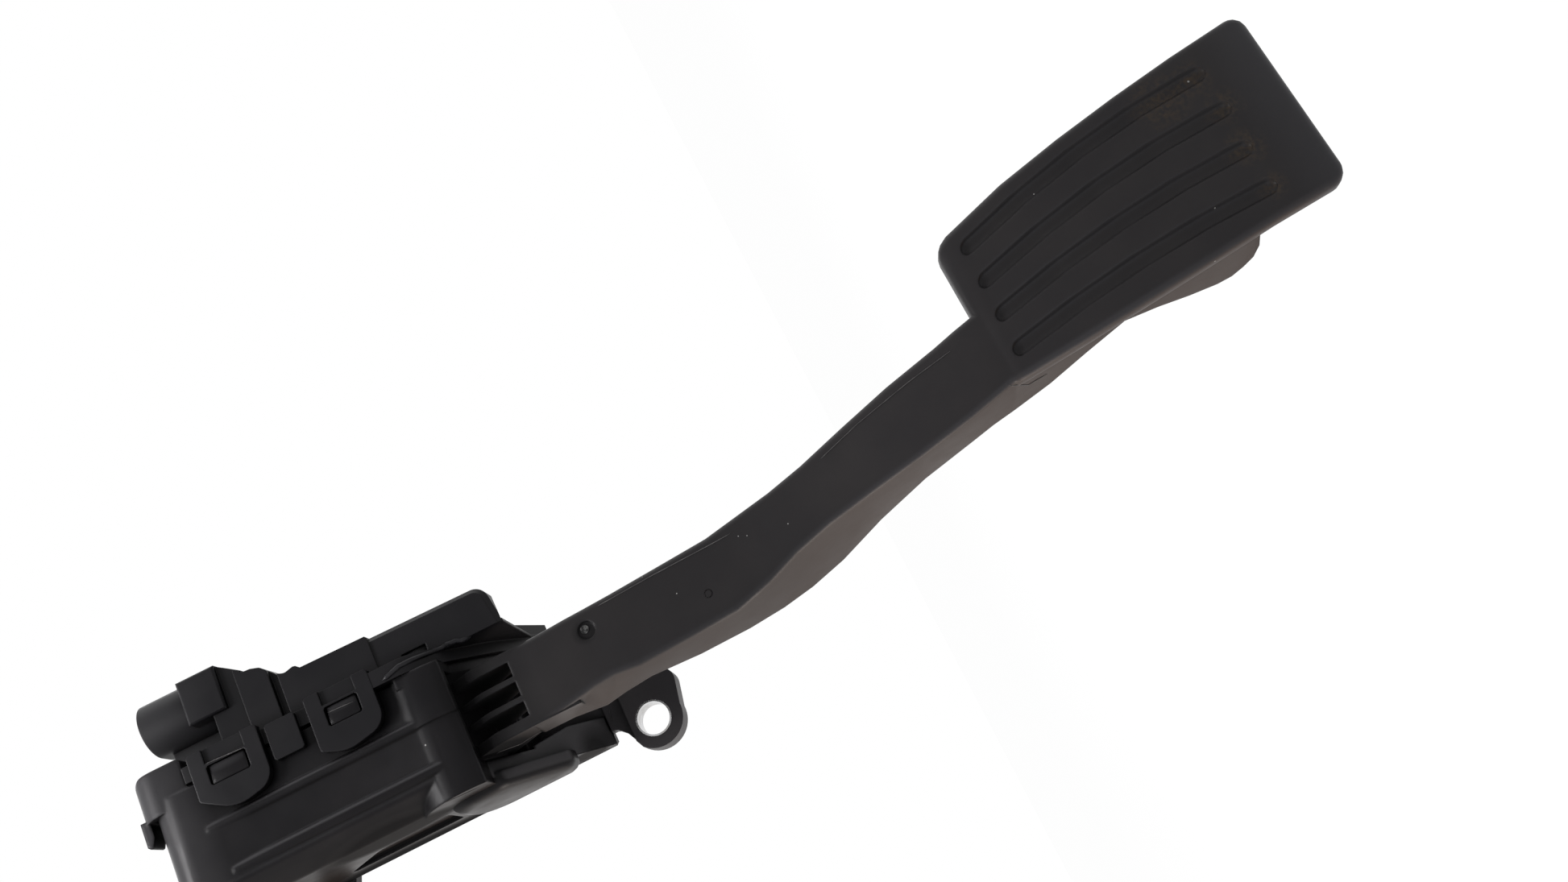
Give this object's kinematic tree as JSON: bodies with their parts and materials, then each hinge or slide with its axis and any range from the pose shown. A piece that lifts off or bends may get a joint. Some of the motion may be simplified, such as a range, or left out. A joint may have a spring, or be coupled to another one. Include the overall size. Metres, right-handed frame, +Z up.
{
  "type": "accelerator pedal",
  "caption": "Hanging accelerator pedal: a long black plastic foot lever on a sprung pivot in a moulded housing with a contactless position sensor and a connector.",
  "frame": {"origin": "centre of the lower mounting bore, on the plane that lies on the bulkhead", "axes": "+X to the driver's right, +Y forward into the bulkhead along the mounting bore, +Z up along the pedal"},
  "size_m": [0.0947, 0.0886, 0.3336],
  "materials": {
    "lever_plastic": "satin moulded, fine grain",
    "housing_plastic": "satin moulded",
    "plate_plastic": "satin moulded, glass filled",
    "sensor_plastic": "satin moulded",
    "cover_plastic": "fine matt texture",
    "zinc_steel": "zinc plated",
    "pin_steel": "ground",
    "spring_steel": "drawn wire, oiled",
    "bearing_plastic": "smooth moulded",
    "slider_plastic": "smooth moulded",
    "seat_plastic": "satin moulded",
    "bumper_rubber": "moulded rubber",
    "gasket_rubber": "silicone rubber",
    "board_laminate": "solder mask",
    "chip_resin": "moulded resin",
    "contact_metal": "tin plated",
    "rotor_plastic": "satin moulded",
    "magnet_ferrite": "ground"
  },
  "bodies": {
    "housing": {"housing": "housing_plastic", "base_plate": "plate_plastic", "lower_mounting_sleeve": "zinc_steel", "upper_mounting_sleeve": "zinc_steel", "pivot_bush_left": "bearing_plastic", "pivot_bush_right": "bearing_plastic", "return_spring_outer": "spring_steel", "return_spring_inner": "spring_steel", "spring_seat": "seat_plastic", "idle_bumper": "bumper_rubber", "sensor_housing": "sensor_plastic", "sensor_cover": "cover_plastic", "sensor_gasket": "gasket_rubber", "circuit_board": "board_laminate", "hall_sensors": "chip_resin", "contact_pins": "contact_metal"},
    "pedal": {"pedal_lever": "lever_plastic", "pivot_pin": "pin_steel", "pin_circlip": "spring_steel", "magnet_rotor": "rotor_plastic", "ring_magnet": "magnet_ferrite"},
    "slider": {"spring_slider": "slider_plastic"}
  },
  "joints": [
    {"name": "pedal_pivot", "type": "hinge", "parent": "housing", "child": "pedal", "pos_m": [0, -0.0345, 0.0445], "axis": [1, 0, 0], "range_deg": [0, 15], "stiffness_Nm_per_rad": 3.5, "springref_deg": -32.66},
    {"name": "slider_slide", "type": "slide", "parent": "housing", "child": "slider", "axis": [0, 0, 1], "range_m": [0, 0.0047], "deforming": ["return_spring_outer", "return_spring_inner"]}
  ],
  "couplings": [
    {"joint": "slider_slide", "follows": "pedal_pivot", "m_per_rad": 0.0176}
  ]
}
